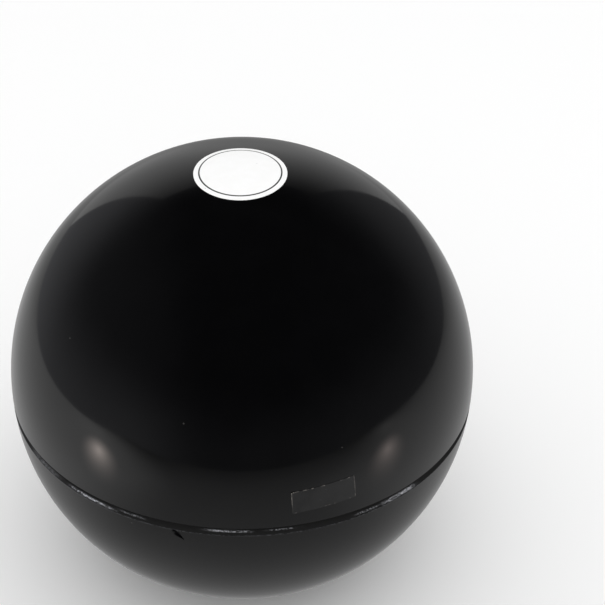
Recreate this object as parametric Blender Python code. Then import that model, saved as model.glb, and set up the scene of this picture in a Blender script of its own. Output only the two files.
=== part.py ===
"""An answer ball: a hollow two-piece ball that stands on a flat ring round a recessed window.

Behind the window a sealed reservoir holds dark dye, and a twenty-sided die floats in it.
Metres, +Z up. The origin is on the ball's axis, in the plane of the foot ring.
"""

from math import acos, asin, atan2, cos, pi, radians, sin, sqrt

import bmesh
import bpy
from mathutils import Matrix, Vector

MM = 0.001
GAP = 0.3 * MM

# Ball
BALL_RADIUS = 50 * MM
WALL = 2.5 * MM
FOOT_RADIUS = 23.5 * MM
BALL_CENTRE_Z = sqrt(BALL_RADIUS**2 - FOOT_RADIUS**2)
BORE_RADIUS = BALL_RADIUS - WALL

# Seam round the middle: a groove with bevelled rims, and a lip that stands inside the upper shell
SEAM_HALF_GAP = 0.2 * MM
SEAM_BEVEL = 0.3 * MM
LIP_THICKNESS = 1.1 * MM
LIP_HEIGHT = 2.0 * MM

# Throat of the window, and the parts in it from the outside in
THROAT_RADIUS = 21.4 * MM
COLLAR_RADIUS = 23.6 * MM
COLLAR_TOP_Z = 11 * MM
FOOT_BEVEL = 0.3 * MM
BEZEL_Z = (2.2 * MM, 3.4 * MM)
LENS_RADIUS = 19.7 * MM
LENS_Z = (2.4 * MM, 3.7 * MM, 6.0 * MM)
GASKET_Z = (6.3 * MM, 7.3 * MM)
VESSEL_RADIUS = THROAT_RADIUS - GAP
VESSEL_WALL = 1.5 * MM
VESSEL_Z = (7.6 * MM, 66 * MM)
VESSEL_BORE = VESSEL_RADIUS - VESSEL_WALL
VESSEL_CEILING_Z = VESSEL_Z[1] - VESSEL_WALL

# Flange that glues to the collar, and the socket of the upper shell that steadies the far end
FLANGE_Z = (COLLAR_TOP_Z + GAP, COLLAR_TOP_Z + GAP + 1.5 * MM)
SOCKET_RADII = (VESSEL_RADIUS + 0.4 * MM, VESSEL_RADIUS + 2.2 * MM)
SOCKET_BOTTOM_Z = 60 * MM

# Filling hole at the far end, with its plug
FILL_RADIUS = 3 * MM
BOSS_RADIUS = 5 * MM
BOSS_TOP_Z = 70 * MM
PLUG_HEAD_HEIGHT = 1.8 * MM
PLUG_BEVEL = 0.5 * MM

# Funnel that keeps air bubbles away from the window
FUNNEL_WALL = 1 * MM
FUNNEL_RADIUS = VESSEL_BORE - GAP
FUNNEL_BOTTOM_Z = 9 * MM
FUNNEL_SHOULDER_Z = 45 * MM
FUNNEL_NECK_RADIUS = 6 * MM

# Die: its rest place is at the window, and it floats up by DIE_TRAVEL when the ball stands on its foot
DIE_EDGE = 16.5 * MM
DIE_RADIUS = DIE_EDGE * sin(2 * pi / 5)
DIE_INRADIUS = DIE_EDGE * (3 * sqrt(3) + sqrt(15)) / 12
DIE_WALL = 1.2 * MM
DIE_CENTRE_Z = LENS_Z[2] + DIE_RADIUS + GAP
DIE_TRAVEL = 16 * MM
DIE_VENT_RADIUS = 0.7 * MM
DIE_FILL_RADIUS = DIE_INRADIUS - DIE_WALL - 0.5 * MM
BAR_RAISED = 0.4 * MM
BAR_SUNK = 0.5 * MM
BAR_HEIGHT = 1.1 * MM
BARS = ((-2.0 * MM, 6.4 * MM), (0.1 * MM, 4.4 * MM), (2.2 * MM, 2.4 * MM))

# Dye: its level, and the free path that it leaves round the die
LIQUID_TOP_Z = VESSEL_CEILING_Z - 2 * MM
PATH_RADIUS = DIE_RADIUS + 0.4 * MM
PATH_FLOOR_RADIUS = 8 * MM
PATH_TOP_RADIUS = 4.5 * MM

# Print on the crown and clear label above the seam, both thin layers on the outside
LAYER_CLEARANCE = 0.06 * MM
LAYER = 0.12 * MM
PRINT_RADIUS = 9.5 * MM
PRINT_TILT = radians(2.6)
LABEL_SIZE = (12.6 * MM, 4.9 * MM)
LABEL_AZIMUTH = radians(17.8)
LABEL_LATITUDE = radians(7.2)
LABEL_TILT = radians(3.5)

# Facets round the axis for shells, for what they hold and for small pieces, and along a quarter circle
ROUND = 60
INNER_ROUND = 48
SMALL_ROUND = 32
QUARTER = 12


def clear_scene():
    """Leaves an empty scene."""
    for obj in list(bpy.data.objects):
        bpy.data.objects.remove(obj)


def material(name, colour, roughness, metallic=0.0, alpha=1.0):
    """A plain Principled material."""
    made = bpy.data.materials.new(name)
    made.use_nodes = True
    shader = made.node_tree.nodes["Principled BSDF"]
    shader.inputs["Base Color"].default_value = (*colour, 1)
    shader.inputs["Roughness"].default_value = roughness
    shader.inputs["Metallic"].default_value = metallic
    shader.inputs["Alpha"].default_value = alpha
    return made


def arc(centre_z, radius, start, end, steps=QUARTER):
    """Points (r, z) of an arc centred on the axis, between two heights' angles above the level."""
    angles = [start + (end - start) * i / steps for i in range(steps + 1)]
    return [(radius * cos(a), centre_z + radius * sin(a)) for a in angles]


def new_object(name, mesh, finish, location=(0, 0, 0)):
    """Links a mesh as a named, smooth-shaded object."""
    mesh.materials.append(finish)
    mesh.shade_smooth()
    mesh.set_sharp_from_angle(angle=radians(30))
    obj = bpy.data.objects.new(name, mesh)
    obj.location = location
    bpy.context.scene.collection.objects.link(obj)
    return obj


def turned(name, outline, finish, closed=True, facets=INNER_ROUND, location=(0, 0, 0)):
    """Turns an outline of (r, z) points about +Z. It runs down the outer side first."""
    points = [(max(r, 0), 0, z) for r, z in outline]
    edges = [(i, i + 1) for i in range(len(points) - 1)]
    if closed:
        edges.append((len(points) - 1, 0))
    mesh = bpy.data.meshes.new(name)
    mesh.from_pydata(points, edges, [])
    obj = new_object(name, mesh, finish, location)
    screw = obj.modifiers.new("turn", "SCREW")
    screw.angle = 2 * pi
    screw.steps = facets
    screw.render_steps = facets
    screw.use_merge_vertices = True
    screw.merge_threshold = 0.01 * MM
    screw.use_smooth_shade = True
    return obj


def cutter(obj):
    """Hides a helper that only shapes other pieces."""
    obj.hide_render = True
    obj.display_type = "WIRE"
    return obj


def boolean(obj, other, operation):
    made = obj.modifiers.new(operation.lower(), "BOOLEAN")
    made.operation = operation
    made.object = other
    made.solver = "EXACT"


def make_upper_shell(finish):
    """The upper half, with the rebate for the lip and the socket for the reservoir's far end."""
    rim = SEAM_HALF_GAP + SEAM_BEVEL
    rebate_radius = BORE_RADIUS + LIP_THICKNESS + GAP
    rebate_top = LIP_HEIGHT + GAP
    inner, outer = SOCKET_RADII
    socket_bottom = SOCKET_BOTTOM_Z - BALL_CENTRE_Z
    outline = arc(0, BALL_RADIUS, pi / 2, asin(rim / BALL_RADIUS))
    outline += [
        (BALL_RADIUS - SEAM_BEVEL, SEAM_HALF_GAP),
        (rebate_radius, SEAM_HALF_GAP),
        (rebate_radius, rebate_top),
    ]
    rebate_angle = asin(rebate_top / BORE_RADIUS)
    outline += arc(0, BORE_RADIUS, rebate_angle, acos(outer / BORE_RADIUS), QUARTER // 2)
    outline += [(outer, socket_bottom), (inner, socket_bottom)]
    outline += arc(0, BORE_RADIUS, acos(inner / BORE_RADIUS), pi / 2, QUARTER // 4)
    centre = (0, 0, BALL_CENTRE_Z)
    return turned("upper_shell", outline, finish, closed=False, facets=ROUND, location=centre)


def make_lower_shell(finish):
    """The lower half: lip, foot ring, window throat and the collar that carries the reservoir."""
    rim = SEAM_HALF_GAP + SEAM_BEVEL
    lip_radius = BORE_RADIUS + LIP_THICKNESS
    foot = -BALL_CENTRE_Z
    foot_angle = -acos((FOOT_RADIUS + FOOT_BEVEL) / BALL_RADIUS)
    collar_top = COLLAR_TOP_Z - BALL_CENTRE_Z
    outline = [
        (lip_radius, LIP_HEIGHT),
        (lip_radius, -SEAM_HALF_GAP),
        (BALL_RADIUS - SEAM_BEVEL, -SEAM_HALF_GAP),
    ]
    outline += arc(0, BALL_RADIUS, -asin(rim / BALL_RADIUS), foot_angle)
    outline += [
        (FOOT_RADIUS - FOOT_BEVEL, foot),
        (THROAT_RADIUS + FOOT_BEVEL, foot),
        (THROAT_RADIUS, foot + FOOT_BEVEL),
        (THROAT_RADIUS, collar_top),
        (COLLAR_RADIUS, collar_top),
    ]
    outline += arc(0, BORE_RADIUS, -acos(COLLAR_RADIUS / BORE_RADIUS), 0, QUARTER // 2)
    outline.append((BORE_RADIUS, LIP_HEIGHT))
    return turned("lower_shell", outline, finish, facets=ROUND, location=(0, 0, BALL_CENTRE_Z))


def ring_outline(inner, outer, bottom, top):
    return [(outer, top), (outer, bottom), (inner, bottom), (inner, top)]


def make_window(black, clear, rubber):
    """Bezel, stepped lens and gasket, stacked in the throat."""
    bezel = ring_outline(LENS_RADIUS + GAP, VESSEL_RADIUS, *BEZEL_Z)
    turned("window_bezel", bezel, black)
    front, step, back = LENS_Z
    lens = [
        (0, back),
        (VESSEL_RADIUS, back),
        (VESSEL_RADIUS, step),
        (LENS_RADIUS, step),
        (LENS_RADIUS, front),
        (0, front),
    ]
    turned("window_lens", lens, clear, closed=False)
    turned("lens_gasket", ring_outline(VESSEL_BORE, VESSEL_RADIUS, *GASKET_Z), rubber)


def make_reservoir(finish):
    """A cup that opens towards the window, with a flange and a filling boss."""
    bottom, top = VESSEL_Z
    flange_bottom, flange_top = FLANGE_Z
    outline = [
        (BOSS_RADIUS, BOSS_TOP_Z),
        (BOSS_RADIUS, top),
        (VESSEL_RADIUS, top),
        (VESSEL_RADIUS, flange_top),
        (COLLAR_RADIUS, flange_top),
        (COLLAR_RADIUS, flange_bottom),
        (VESSEL_RADIUS, flange_bottom),
        (VESSEL_RADIUS, bottom),
        (VESSEL_BORE, bottom),
        (VESSEL_BORE, VESSEL_CEILING_Z),
        (FILL_RADIUS, VESSEL_CEILING_Z),
        (FILL_RADIUS, BOSS_TOP_Z),
    ]
    return turned("reservoir", outline, finish)


def make_fill_plug(finish):
    """A push-in plug with a head that rests on the boss."""
    head_bottom = BOSS_TOP_Z + GAP
    head_top = head_bottom + PLUG_HEAD_HEIGHT
    stem = FILL_RADIUS - GAP
    outline = [
        (0, head_top),
        (BOSS_RADIUS - PLUG_BEVEL, head_top),
        (BOSS_RADIUS, head_top - PLUG_BEVEL),
        (BOSS_RADIUS, head_bottom),
        (stem, head_bottom),
        (stem, VESSEL_CEILING_Z + PLUG_BEVEL),
        (stem - PLUG_BEVEL, VESSEL_CEILING_Z),
        (0, VESSEL_CEILING_Z),
    ]
    return turned("fill_plug", outline, finish, closed=False, facets=SMALL_ROUND)


def funnel_side(offset):
    """The funnel's shoulder and the top of its cone at 45 degrees, this far out from its inner side."""
    shoulder = (FUNNEL_RADIUS - FUNNEL_WALL + offset, FUNNEL_SHOULDER_Z + offset * (sqrt(2) - 1))
    rise = FUNNEL_RADIUS - FUNNEL_WALL - FUNNEL_NECK_RADIUS
    neck = (FUNNEL_NECK_RADIUS + max(offset, 0), FUNNEL_SHOULDER_Z + rise + offset * (sqrt(2) - 1))
    return shoulder, neck


def make_bubble_funnel(finish):
    """A skirt and a cone with an open neck. Air passes the neck and stays outside the cone."""
    inner_shoulder, inner_neck = funnel_side(0)
    outer_shoulder, outer_neck = funnel_side(FUNNEL_WALL)
    outline = [
        (inner_neck[0], outer_neck[1]),
        outer_neck,
        outer_shoulder,
        (FUNNEL_RADIUS, FUNNEL_BOTTOM_Z),
        (FUNNEL_RADIUS - FUNNEL_WALL, FUNNEL_BOTTOM_Z),
        inner_shoulder,
        inner_neck,
    ]
    return turned("bubble_funnel", outline, finish)


def make_dyed_liquid(finish):
    """The dye round the funnel, open along the whole path that the die takes."""
    outer_shoulder, outer_neck = funnel_side(FUNNEL_WALL + GAP)
    inner_shoulder, inner_neck = funnel_side(-GAP)
    side = VESSEL_BORE - GAP
    over_shoulder = outer_shoulder[1] + outer_shoulder[0] - side
    neck_side = FUNNEL_NECK_RADIUS - GAP
    top_centre = DIE_CENTRE_Z + DIE_TRAVEL
    skirt_side = inner_shoulder[0]
    floor = LENS_Z[2] + GAP
    outline = [
        (side, LIQUID_TOP_Z),
        (side, over_shoulder),
        outer_neck,
        (neck_side, outer_neck[1]),
        (neck_side, inner_neck[1] + inner_neck[0] - neck_side),
        inner_shoulder,
        (skirt_side, floor),
        (PATH_FLOOR_RADIUS, floor),
    ]
    outline += arc(DIE_CENTRE_Z, PATH_RADIUS, -acos(PATH_FLOOR_RADIUS / PATH_RADIUS), 0, QUARTER // 2)
    outline += arc(top_centre, PATH_RADIUS, 0, acos(PATH_TOP_RADIUS / PATH_RADIUS), QUARTER // 2)
    outline.append((PATH_TOP_RADIUS, LIQUID_TOP_Z))
    return turned("dyed_liquid", outline, finish)


def icosahedron(radius):
    """A mesh of twenty triangles with one face down, and that face's corner towards -Y."""
    shape = bmesh.new()
    bmesh.ops.create_icosphere(shape, subdivisions=1, radius=radius)
    lowest = min(shape.faces, key=lambda face: (face.calc_center_median() - Vector((0.1, 0.2, -1))).length)
    down = lowest.calc_center_median().rotation_difference(Vector((0, 0, -1))).to_matrix()
    bmesh.ops.rotate(shape, matrix=down, verts=shape.verts)
    corner = lowest.verts[0].co
    turn = Matrix.Rotation(-pi / 2 - atan2(corner.y, corner.x), 3, "Z")
    bmesh.ops.rotate(shape, matrix=turn, verts=shape.verts)
    return shape


def mesh_of(shape, name):
    mesh = bpy.data.meshes.new(name)
    shape.to_mesh(mesh)
    shape.free()
    return mesh


def raised_bars(die):
    """Three plain bars on each face, shorter towards one corner."""
    bars = bmesh.new()
    for face in die.faces:
        normal = face.normal.copy()
        up = (face.verts[0].co - face.calc_center_median()).normalized()
        across = up.cross(normal)
        turn = Matrix((across, up, normal)).transposed().to_4x4()
        for height, width in BARS:
            depth = BAR_RAISED + BAR_SUNK
            size = Matrix.Diagonal((width, BAR_HEIGHT, depth, 1))
            place = face.calc_center_median() + up * height + normal * (BAR_RAISED - depth / 2)
            bmesh.ops.create_cube(bars, size=1, matrix=Matrix.Translation(place) @ turn @ size)
    return bars


def make_die(finish):
    """Two hollow halves of the die, joined across its middle."""
    centre = (0, 0, DIE_CENTRE_Z)
    outer = icosahedron(DIE_RADIUS)
    outer.normal_update()
    bars = cutter(new_object("die_bars", mesh_of(raised_bars(outer), "die_bars"), finish, centre))
    body = mesh_of(outer, "die_body")
    core_radius = DIE_RADIUS * (DIE_INRADIUS - DIE_WALL) / DIE_INRADIUS
    core = cutter(new_object("die_core", mesh_of(icosahedron(core_radius), "die_core"), finish, centre))
    vent = bmesh.new()
    bmesh.ops.create_cone(
        vent,
        cap_ends=True,
        segments=12,
        radius1=DIE_VENT_RADIUS,
        radius2=DIE_VENT_RADIUS,
        depth=2 * DIE_RADIUS,
        matrix=Matrix.Translation((0, 0, DIE_RADIUS)),
    )
    vent = cutter(new_object("die_vent", mesh_of(vent, "die_vent"), finish, centre))
    for name, side in (("die_front_half", -1), ("die_back_half", 1)):
        half = new_object(name, body.copy(), finish, centre)
        block = bmesh.new()
        height = 2 * DIE_RADIUS
        lift = side * (height / 2 + GAP / 2)
        size = Matrix.Diagonal((4 * DIE_RADIUS, 4 * DIE_RADIUS, height, 1))
        bmesh.ops.create_cube(block, size=1, matrix=Matrix.Translation((0, 0, lift)) @ size)
        block = cutter(new_object(name + "_space", mesh_of(block, name + "_space"), finish, centre))
        boolean(half, core, "DIFFERENCE")
        boolean(half, bars, "UNION")
        boolean(half, block, "INTERSECT")
        boolean(half, vent, "DIFFERENCE")
    bpy.data.meshes.remove(body)


def make_die_fill(finish):
    """The liquid inside the die that stays still while the die turns round it."""
    outline = arc(0, DIE_FILL_RADIUS, pi / 2, -pi / 2)
    centre = (0, 0, DIE_CENTRE_Z)
    return turned("die_fill_liquid", outline, finish, closed=False, facets=SMALL_ROUND, location=centre)


def make_print_disc(finish):
    """A thin round cap on the crown, leaning a little to the front."""
    inner = BALL_RADIUS + LAYER_CLEARANCE
    outer = inner + LAYER
    rim = acos(PRINT_RADIUS / BALL_RADIUS)
    outline = arc(0, outer, pi / 2, rim, QUARTER // 4) + arc(0, inner, rim, pi / 2, QUARTER // 4)
    disc = turned("print_disc", outline, finish, closed=False, facets=SMALL_ROUND)
    disc.location = (0, 0, BALL_CENTRE_Z)
    disc.rotation_euler = (PRINT_TILT, 0, 0)
    return disc


def make_clear_label(finish):
    """A thin rectangle bent to the ball, just above the seam and right of the front."""
    patch = bmesh.new()
    bmesh.ops.create_grid(patch, x_segments=8, y_segments=4, size=0.5)
    radius = BALL_RADIUS + LAYER_CLEARANCE
    for corner in patch.verts:
        across = corner.co.x * LABEL_SIZE[0]
        up = corner.co.y * LABEL_SIZE[1]
        azimuth = (across * cos(LABEL_TILT) - up * sin(LABEL_TILT)) / radius
        latitude = LABEL_LATITUDE + (across * sin(LABEL_TILT) + up * cos(LABEL_TILT)) / radius
        azimuth = LABEL_AZIMUTH + azimuth / cos(LABEL_LATITUDE)
        level = radius * cos(latitude)
        corner.co = (level * sin(azimuth), -level * cos(azimuth), radius * sin(latitude))
    label = new_object("clear_label", mesh_of(patch, "clear_label"), finish, (0, 0, BALL_CENTRE_Z))
    thickness = label.modifiers.new("thickness", "SOLIDIFY")
    thickness.thickness = LAYER
    thickness.offset = 1
    return label


def main():
    clear_scene()
    black = material("black_plastic", (0.004, 0.004, 0.005), 0.08)
    clear = material("clear_plastic", (0.9, 0.93, 0.95), 0.04, alpha=0.3)
    rubber = material("grey_rubber", (0.05, 0.05, 0.05), 0.7)
    frosted = material("frosted_plastic", (0.55, 0.6, 0.66), 0.35)
    dye = material("dark_dye", (0.005, 0.01, 0.08), 0.05)
    white = material("white_plastic", (0.82, 0.84, 0.86), 0.4)
    ink = material("white_ink", (0.9, 0.9, 0.9), 0.35)
    film = material("clear_film", (0.5, 0.5, 0.5), 0.2, alpha=0.3)
    make_upper_shell(black)
    make_lower_shell(black)
    make_window(black, clear, rubber)
    make_reservoir(frosted)
    make_fill_plug(rubber)
    make_bubble_funnel(frosted)
    make_dyed_liquid(dye)
    make_die(white)
    make_die_fill(dye)
    make_print_disc(ink)
    make_clear_label(film)


main()
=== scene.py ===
"""Looks of the answer ball: turned shells with a fine seam, a white print, a label, and a die in blue dye.

Metres, in the frame of the CAD model. Each piece stands where the CAD node that it replaces stands.
"""

from math import acos, asin, atan2, cos, degrees, pi, radians, sin, sqrt, tan

import bmesh
import bpy
from mathutils import Matrix, Vector, noise


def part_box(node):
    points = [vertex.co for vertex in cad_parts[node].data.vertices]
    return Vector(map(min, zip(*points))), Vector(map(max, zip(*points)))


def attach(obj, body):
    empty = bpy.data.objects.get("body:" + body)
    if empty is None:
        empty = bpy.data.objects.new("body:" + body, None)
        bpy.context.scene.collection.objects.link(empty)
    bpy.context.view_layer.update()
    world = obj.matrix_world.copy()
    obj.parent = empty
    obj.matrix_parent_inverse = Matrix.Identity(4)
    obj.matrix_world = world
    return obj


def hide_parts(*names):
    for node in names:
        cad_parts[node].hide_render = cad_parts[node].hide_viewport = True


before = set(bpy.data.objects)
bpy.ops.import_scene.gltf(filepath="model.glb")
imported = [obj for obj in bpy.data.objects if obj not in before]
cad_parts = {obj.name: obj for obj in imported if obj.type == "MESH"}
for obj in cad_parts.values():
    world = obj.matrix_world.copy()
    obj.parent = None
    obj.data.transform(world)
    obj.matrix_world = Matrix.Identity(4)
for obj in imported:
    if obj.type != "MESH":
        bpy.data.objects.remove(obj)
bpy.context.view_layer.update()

MM = 0.001
GAP = 0.3 * MM

# The ball, from the CAD model's upper shell, which reaches from the seam to the crown
SHELL_LOW, SHELL_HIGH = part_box("upper_shell")
RADIUS = SHELL_HIGH.x
CENTRE_Z = SHELL_HIGH.z - RADIUS
WALL = 2.5 * MM
BORE = RADIUS - WALL

# Seam: the groove's half height, the rims' chamfers, and the lip inside
SEAM_HALF_GAP = SHELL_LOW.z - CENTRE_Z
UPPER_CHAMFER = 0.3 * MM
LOWER_CHAMFER = 1.2 * MM
LIP_THICKNESS = 1.1 * MM
LIP_HEIGHT = 2.0 * MM

# Foot, throat and collar of the lower shell, and the socket of the upper one
FOOT_RADIUS = sqrt(RADIUS**2 - CENTRE_Z**2)
VESSEL_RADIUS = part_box("window_lens")[1].x
THROAT_RADIUS = VESSEL_RADIUS + GAP
COLLAR_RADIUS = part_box("reservoir")[1].x
COLLAR_TOP_Z = 11 * MM
SOCKET_RADII = (VESSEL_RADIUS + 0.4 * MM, VESSEL_RADIUS + 2.2 * MM)
SOCKET_BOTTOM_Z = 60 * MM

# Window: the ring's width and its bead's, the step between them, and how far the lens stays off the ring
BEZEL_WIDTH = 1.1 * MM
BEAD_WIDTH = 0.4 * MM
BEAD_STEP = 0.3 * MM
LENS_INSET = BEZEL_WIDTH + GAP

# Reservoir and its filling hole
VESSEL_WALL = 1.5 * MM
BOSS_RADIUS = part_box("fill_plug")[1].x
FILL_RADIUS = 3 * MM

# Funnel's cone, which the dye follows
FUNNEL_WALL = 1 * MM
FUNNEL_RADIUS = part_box("bubble_funnel")[1].x
FUNNEL_SHOULDER_Z = 45 * MM
FUNNEL_NECK_RADIUS = 6 * MM

# Die, from the two halves' box: its raised bars reach the lowest and the highest point
DIE_LOW_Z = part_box("die_front_half")[0].z
DIE_HIGH_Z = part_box("die_back_half")[1].z
BAR_RAISED = 0.4 * MM
BAR_SUNK = 0.5 * MM
BAR_HEIGHT = 1.1 * MM
BAR_ROUNDING = 0.15 * MM
BARS = ((-2.0 * MM, 6.4 * MM), (0.1 * MM, 4.4 * MM), (2.2 * MM, 2.4 * MM))
DIE_CENTRE = Vector((0, 0, (DIE_LOW_Z + DIE_HIGH_Z) / 2))
DIE_INRADIUS = (DIE_HIGH_Z - DIE_LOW_Z) / 2 - BAR_RAISED
DIE_EDGE = DIE_INRADIUS * 12 / (3 * sqrt(3) + sqrt(15))
DIE_RADIUS = DIE_EDGE * sin(2 * pi / 5)
DIE_WALL = 1.2 * MM
DIE_ROUNDING = 0.35 * MM
DIE_VENT_RADIUS = 0.7 * MM

# Print on the crown and label above the seam
PRINT_LOW, PRINT_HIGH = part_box("print_disc")
PRINT_RADIUS = PRINT_HIGH.x
PRINT_STRETCH = (0.95, 1.02)
PRINT_SHIFT = (-0.33 * MM, -0.25 * MM)
PRINT_TILT = asin(-(PRINT_LOW.y + PRINT_HIGH.y) / 2 / sqrt(RADIUS**2 - PRINT_RADIUS**2))
PRINT_RELIEF = (-0.02 * MM, 0.05 * MM)
RING_RADIUS = 8.4 * MM
RING_WIDTH = 0.3 * MM
LABEL_MIDDLE = sum(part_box("clear_label"), Vector()) / 2
LABEL_AZIMUTH = atan2(LABEL_MIDDLE.x, -LABEL_MIDDLE.y)
LABEL_LATITUDE = asin((LABEL_MIDDLE.z - CENTRE_Z) / RADIUS)
LABEL_TILT = radians(3.5)
LABEL_SIZE = (12.6 * MM, 4.9 * MM)
LABEL_CORNER = 0.15 * MM
LABEL_THICKNESS = 0.03 * MM
LABEL_CLEARANCE = 0.015 * MM
LABEL_CURL = (0.12 * MM, 1.3 * MM)
LABEL_RIPPLE = (0.01 * MM, 0.5 * MM)

# Gouge in the lower shell, just under the seam: (azimuth, latitude) of its two ends
GOUGE_ENDS = ((radians(-14.9), radians(-1.9)), (radians(-12.7), radians(-4.2)))
GOUGE_HALF_WIDTH = 0.72 * MM
GOUGE_DEPTH = 0.6 * MM

# Painted highlights on the lower rim, pale and rougher stretches where lamps would glint: azimuth and half
# width in degrees, how strong, and in mm the height of the stretch's middle over the rim's edge and its half
# height. The last two are at the back, and invented.
RIM_GLINTS = (
    (-52, 8, 0.25, 0.28, 0.2), (-36, 8, 1.0, 0.3, 0.13), (-25, 4, 0.3, 0.5, 0.1),
    (-3, 6, 0.65, 0.6, 0.12), (9, 4, 0.35, 0.62, 0.08), (29, 4, 0.35, 0.35, 0.1),
    (38, 6, 0.75, 0.36, 0.2), (128, 9, 0.6, 0.4, 0.12), (206, 12, 0.7, 0.4, 0.12),
)

# Painted highlight: a faint pale line along the whole edge of the lower rim
EDGE_LINE_WIDTH = 0.07 * MM
EDGE_LINE_GLINT = 0.07

# Facets
ROUND = 256
SMALL_ROUND = 96
LATITUDES = 60
CHAMFER_ROWS = 16

# Finer facets round the gouge
FINE_STEP = radians(0.07)
FINE_LATITUDE = radians(-4.6)
FINE_AZIMUTHS = (radians(-16), radians(-11.6))

# Faces that meet at more than this look creased, and points closer to the axis than this are on it
CREASE = radians(35)
ON_AXIS = 0.001 * MM


def arc(radius, start, end, steps):
    """Points (r, z) of an arc round the origin, between two heights' angles above the level."""
    angles = [start + (end - start) * i / steps for i in range(steps + 1)]
    return [(radius * cos(a), radius * sin(a), 0) for a in angles]


def rounded(outline, steps=5, support=0.05 * MM):
    """Points (r, z) of an outline of (r, z, fillet) corners, with a point close by on either side."""
    points = []
    for i, (r, z, fillet) in enumerate(outline):
        corner = Vector((r, z))
        if not fillet:
            points.append(corner)
            continue
        before = (Vector(outline[i - 1][:2]) - corner).normalized()
        after = (Vector(outline[(i + 1) % len(outline)][:2]) - corner).normalized()
        half = before.angle(after) / 2
        reach = fillet / tan(half)
        centre = corner + (before + after).normalized() * fillet / sin(half)
        start = corner + before * reach - centre
        end = corner + after * reach - centre
        sweep = start.angle(end)
        points.append(corner + before * (reach + support))
        for k in range(steps + 1):
            shares = (sin(sweep * (1 - k / steps)), sin(sweep * k / steps))
            points.append(centre + (start * shares[0] + end * shares[1]) / sin(sweep))
        points.append(corner + after * (reach + support))
    return points


def even_azimuths(count):
    return [2 * pi * i / count for i in range(count)]


def turned(name, points, finish, azimuths=None, loop=True, lift=0.0):
    """Turns points (r, z) about the axis into a closed mesh. They run down the outer side first."""
    azimuths = azimuths or even_azimuths(ROUND)
    shape = bmesh.new()
    rings = []
    for r, z in points:
        if r < ON_AXIS:
            rings.append([shape.verts.new((0, 0, z + lift))] * len(azimuths))
        else:
            rings.append([shape.verts.new((r * sin(a), -r * cos(a), z + lift)) for a in azimuths])
    pairs = list(zip(rings, rings[1:]))
    if loop:
        pairs.append((rings[-1], rings[0]))
    for upper, lower in pairs:
        for i in range(len(azimuths)):
            following = (i + 1) % len(azimuths)
            corners = dict.fromkeys((upper[i], lower[i], lower[following], upper[following]))
            if len(corners) > 2:
                shape.faces.new(corners)
    return linked(name, shape, finish)


def linked(name, shape, finish):
    """A smooth-shaded object in the scene, made from a bmesh."""
    mesh = bpy.data.meshes.new(name)
    shape.to_mesh(mesh)
    shape.free()
    mesh.materials.append(finish)
    mesh.shade_smooth()
    mesh.set_sharp_from_angle(angle=CREASE)
    obj = bpy.data.objects.new(name, mesh)
    bpy.context.scene.collection.objects.link(obj)
    return obj


def placed(obj, body, slot, *nodes):
    """Says which body a piece moves with and the CAD nodes it stands for. The slot, its finish in the record,
    is not used.
    """
    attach(obj, body)
    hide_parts(*nodes)
    return obj


def smooth(x):
    """0 up to 0, 1 from 1, and an even slope between."""
    x = max(0, min(1, x))
    return x * x * (3 - 2 * x)


# Materials


class Nodes:
    """Short names for making and joining the nodes of a tree."""

    def __init__(self, tree):
        self.tree = tree

    def feed(self, socket, value):
        if isinstance(value, bpy.types.NodeSocket):
            self.tree.links.new(value, socket)
        else:
            socket.default_value = value

    def node(self, kind, inputs, **settings):
        made = self.tree.nodes.new("ShaderNode" + kind)
        for key, value in settings.items():
            setattr(made, key, value)
        for key, value in inputs.items():
            self.feed(made.inputs[key], value)
        return made

    def remap(self, value, low, high, out_low=0.0, out_high=1.0, kind="SMOOTHSTEP"):
        inputs = {"Value": value, "From Min": low, "From Max": high, "To Min": out_low, "To Max": out_high}
        return self.node("MapRange", inputs, interpolation_type=kind).outputs["Result"]

    def math(self, operation, first, second=0.0):
        return self.node("Math", {0: first, 1: second}, operation=operation).outputs[0]

    def mix(self, factor, first, second):
        inputs = {"Factor": factor, 6: first, 7: second}
        return self.node("Mix", inputs, data_type="RGBA").outputs[2]


class Finish(Nodes):
    """A Principled material and short names for what feeds it."""

    def __init__(self, name, **values):
        self.material = bpy.data.materials.new(name)
        self.material.use_nodes = True
        super().__init__(self.material.node_tree)
        self.shader = self.tree.nodes["Principled BSDF"]
        for label, value in values.items():
            self.shader.inputs[label.replace("_", " ")].default_value = value
        self.place = self.tree.nodes.new("ShaderNodeTexCoord").outputs["Object"]

    def stretched(self, scale, turn):
        return self.node("Mapping", {"Vector": self.place, "Scale": scale, "Rotation": turn}).outputs[0]

    def noise(self, size, detail, place=None):
        """Noise whose features are about this large."""
        inputs = {"Vector": place or self.place, "Scale": 1 / size, "Detail": detail}
        return self.node("TexNoise", inputs).outputs["Fac"]

    def attribute(self, name):
        return self.node("Attribute", {}, attribute_name=name).outputs["Fac"]

    def bump(self, height, strength, distance):
        inputs = {"Height": height, "Strength": strength, "Distance": distance}
        self.feed(self.shader.inputs["Normal"], self.node("Bump", inputs).outputs[0])

    def set(self, label, value):
        self.feed(self.shader.inputs[label], value)

    def specks(self, spacing, size, share):
        """A mask of sparse round specks: cells of this spacing, a share of which hold one."""
        cells = self.node("TexVoronoi", {"Vector": self.place, "Scale": 1 / spacing})
        near = self.remap(cells.outputs["Distance"], size / spacing, 0.6 * size / spacing)
        tint = self.node("SeparateColor", {0: cells.outputs["Color"]}).outputs[0]
        return self.math("MULTIPLY", near, self.math("LESS_THAN", tint, share))

    def scratches(self, turn):
        """A mask of sparse straight hairlines in one direction."""
        place = self.stretched((40, 900, 900), turn)
        line = self.noise(1.0, 1.0, place)
        return self.remap(self.math("ABSOLUTE", self.math("SUBTRACT", line, 0.5)), 0.012, 0.002)


def rgb(r, g, b):
    return (r, g, b, 1)


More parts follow.
